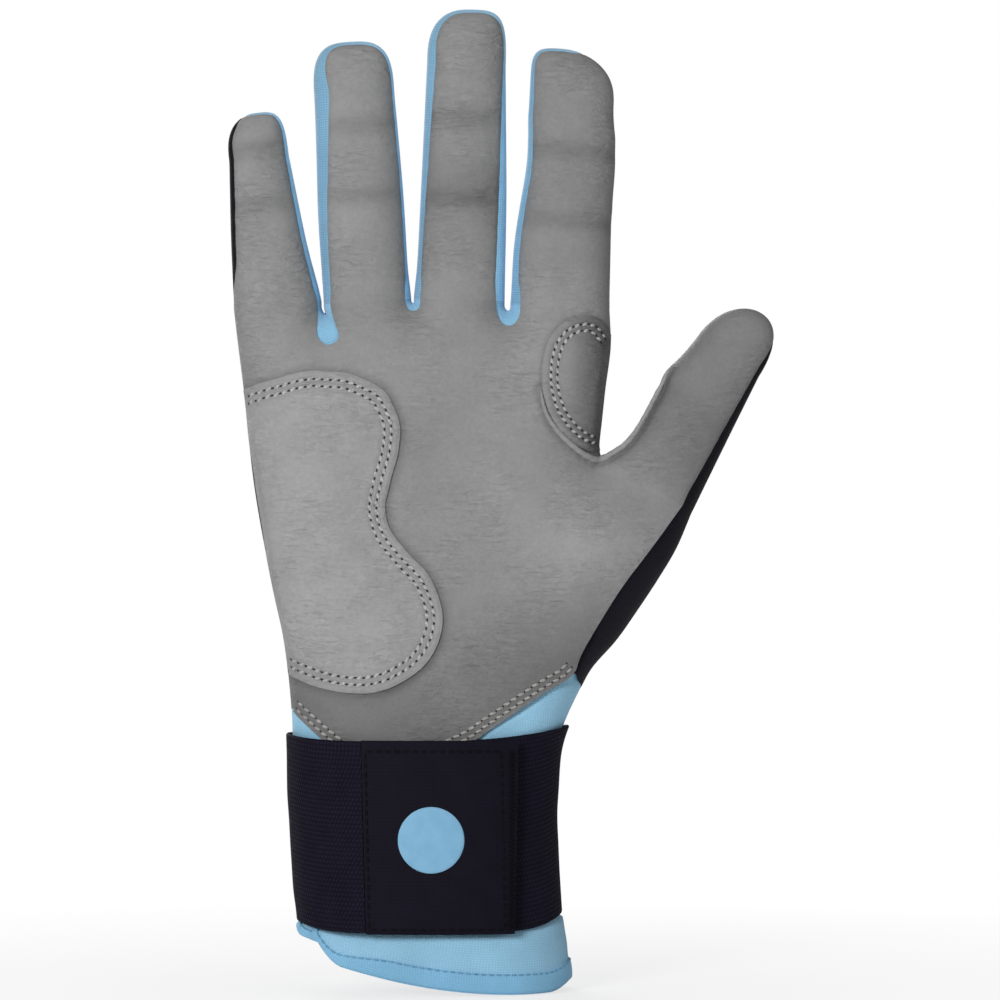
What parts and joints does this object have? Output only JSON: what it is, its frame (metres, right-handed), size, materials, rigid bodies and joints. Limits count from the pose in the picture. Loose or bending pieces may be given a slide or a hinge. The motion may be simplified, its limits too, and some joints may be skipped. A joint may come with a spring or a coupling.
{
  "type": "batting glove",
  "caption": "Right-hand batting glove with a soft leather palm, stretch finger walls, a long cuff and a wrist strap that closes with a peel-off tab.",
  "frame": {"origin": "middle of the cuff's mouth, where the hand goes in, at the height of the lowest point of the hem", "axes": "+Z along the hand towards the fingertips, +X towards the thumb, -Y out of the palm"},
  "size_m": [0.1412, 0.048, 0.2536],
  "materials": {
    "grey_leather": "soft grained grey leather, matt",
    "navy_cloth": "dark navy stretch cloth",
    "blue_cloth": "light-blue stretch cloth",
    "blue_binding": "light-blue hem tape",
    "elastic_web": "dark woven elastic",
    "tab_cloth": "dark smooth coated cloth",
    "hook_and_loop": "black nylon hook and loop",
    "pad_foam": "thin closed-cell foam"
  },
  "bodies": {
    "hand": {"palm_leather": "grey_leather", "back_panel": "navy_cloth", "thumb_side_panel": "navy_cloth", "web_little_ring": "blue_cloth", "web_ring_middle": "blue_cloth", "web_middle_index": "blue_cloth", "heel_pad": "grey_leather", "heel_pad_foam": "pad_foam", "crotch_patch": "grey_leather", "cuff_palm": "blue_cloth", "hem_palm": "blue_binding", "cuff_back": "blue_cloth", "hem_back": "blue_binding", "wrist_strap": "elastic_web", "loop_patch": "hook_and_loop"},
    "little_lower": {"little_front_lower": "grey_leather", "little_back_lower": "navy_cloth", "little_wall_lower_radial": "blue_cloth"},
    "little_upper": {"little_front_upper": "grey_leather", "little_back_upper": "navy_cloth", "little_wall_upper": "blue_cloth"},
    "ring_lower": {"ring_front_lower": "grey_leather", "ring_back_lower": "navy_cloth", "ring_wall_lower_ulnar": "blue_cloth", "ring_wall_lower_radial": "blue_cloth"},
    "ring_upper": {"ring_front_upper": "grey_leather", "ring_back_upper": "navy_cloth", "ring_wall_upper": "blue_cloth"},
    "middle_lower": {"middle_front_lower": "grey_leather", "middle_back_lower": "navy_cloth", "middle_wall_lower_ulnar": "blue_cloth", "middle_wall_lower_radial": "blue_cloth"},
    "middle_upper": {"middle_front_upper": "grey_leather", "middle_back_upper": "navy_cloth", "middle_wall_upper": "blue_cloth"},
    "index_lower": {"index_front_lower": "grey_leather", "index_back_lower": "navy_cloth", "index_wall_lower_ulnar": "blue_cloth"},
    "index_upper": {"index_front_upper": "grey_leather", "index_back_upper": "navy_cloth", "index_wall_upper": "blue_cloth"},
    "thumb_lower": {"thumb_front_lower": "grey_leather", "thumb_back_lower": "navy_cloth"},
    "thumb_upper": {"thumb_front_upper": "grey_leather", "thumb_back_upper": "navy_cloth"},
    "strap_tab_body": {"strap_tab": "tab_cloth", "hook_patch": "hook_and_loop"}
  },
  "joints": [
    {"name": "little_knuckle", "type": "hinge", "parent": "hand", "child": "little_lower", "pos_m": [-0.03822, -0.011, 0.1772], "axis": [0.994, 0, 0.1097], "range_deg": [0, 75]},
    {"name": "little_fold", "type": "hinge", "parent": "little_lower", "child": "little_upper", "pos_m": [-0.04085, -0.01071, 0.20106], "axis": [0.994, 0, 0.1097], "range_deg": [0, 90]},
    {"name": "ring_knuckle", "type": "hinge", "parent": "hand", "child": "ring_lower", "pos_m": [-0.01465, -0.011, 0.1783], "axis": [0.9983, 0, 0.0576], "range_deg": [0, 75]},
    {"name": "ring_fold", "type": "hinge", "parent": "ring_lower", "child": "ring_upper", "pos_m": [-0.01632, -0.01105, 0.20725], "axis": [0.9983, 0, 0.0576], "range_deg": [0, 90]},
    {"name": "middle_knuckle", "type": "hinge", "parent": "hand", "child": "middle_lower", "pos_m": [0.00958, -0.011, 0.1787], "axis": [0.9996, 0, -0.0279], "range_deg": [0, 75]},
    {"name": "middle_fold", "type": "hinge", "parent": "middle_lower", "child": "middle_upper", "pos_m": [0.01044, -0.01107, 0.20969], "axis": [0.9996, 0, -0.0279], "range_deg": [0, 90]},
    {"name": "index_knuckle", "type": "hinge", "parent": "hand", "child": "index_lower", "pos_m": [0.0356, -0.011, 0.1769], "axis": [0.9984, 0, -0.0558], "range_deg": [0, 75]},
    {"name": "index_fold", "type": "hinge", "parent": "index_lower", "child": "index_upper", "pos_m": [0.03728, -0.01128, 0.20685], "axis": [0.9984, 0, -0.0558], "range_deg": [0, 90]},
    {"name": "thumb_knuckle", "type": "hinge", "parent": "hand", "child": "thumb_lower", "pos_m": [0.05798, -0.012, 0.131], "axis": [0.8434, 0, -0.5373], "range_deg": [0, 40]},
    {"name": "thumb_fold", "type": "hinge", "parent": "thumb_lower", "child": "thumb_upper", "pos_m": [0.06873, -0.0121, 0.14787], "axis": [0.8434, 0, -0.5373], "range_deg": [0, 60]},
    {"name": "tab_peel", "type": "hinge", "parent": "hand", "child": "strap_tab_body", "pos_m": [-0.01536, -0.02432, 0.0394], "axis": [0.0371, 0, -0.9993], "range_deg": [0, 140]}
  ]
}
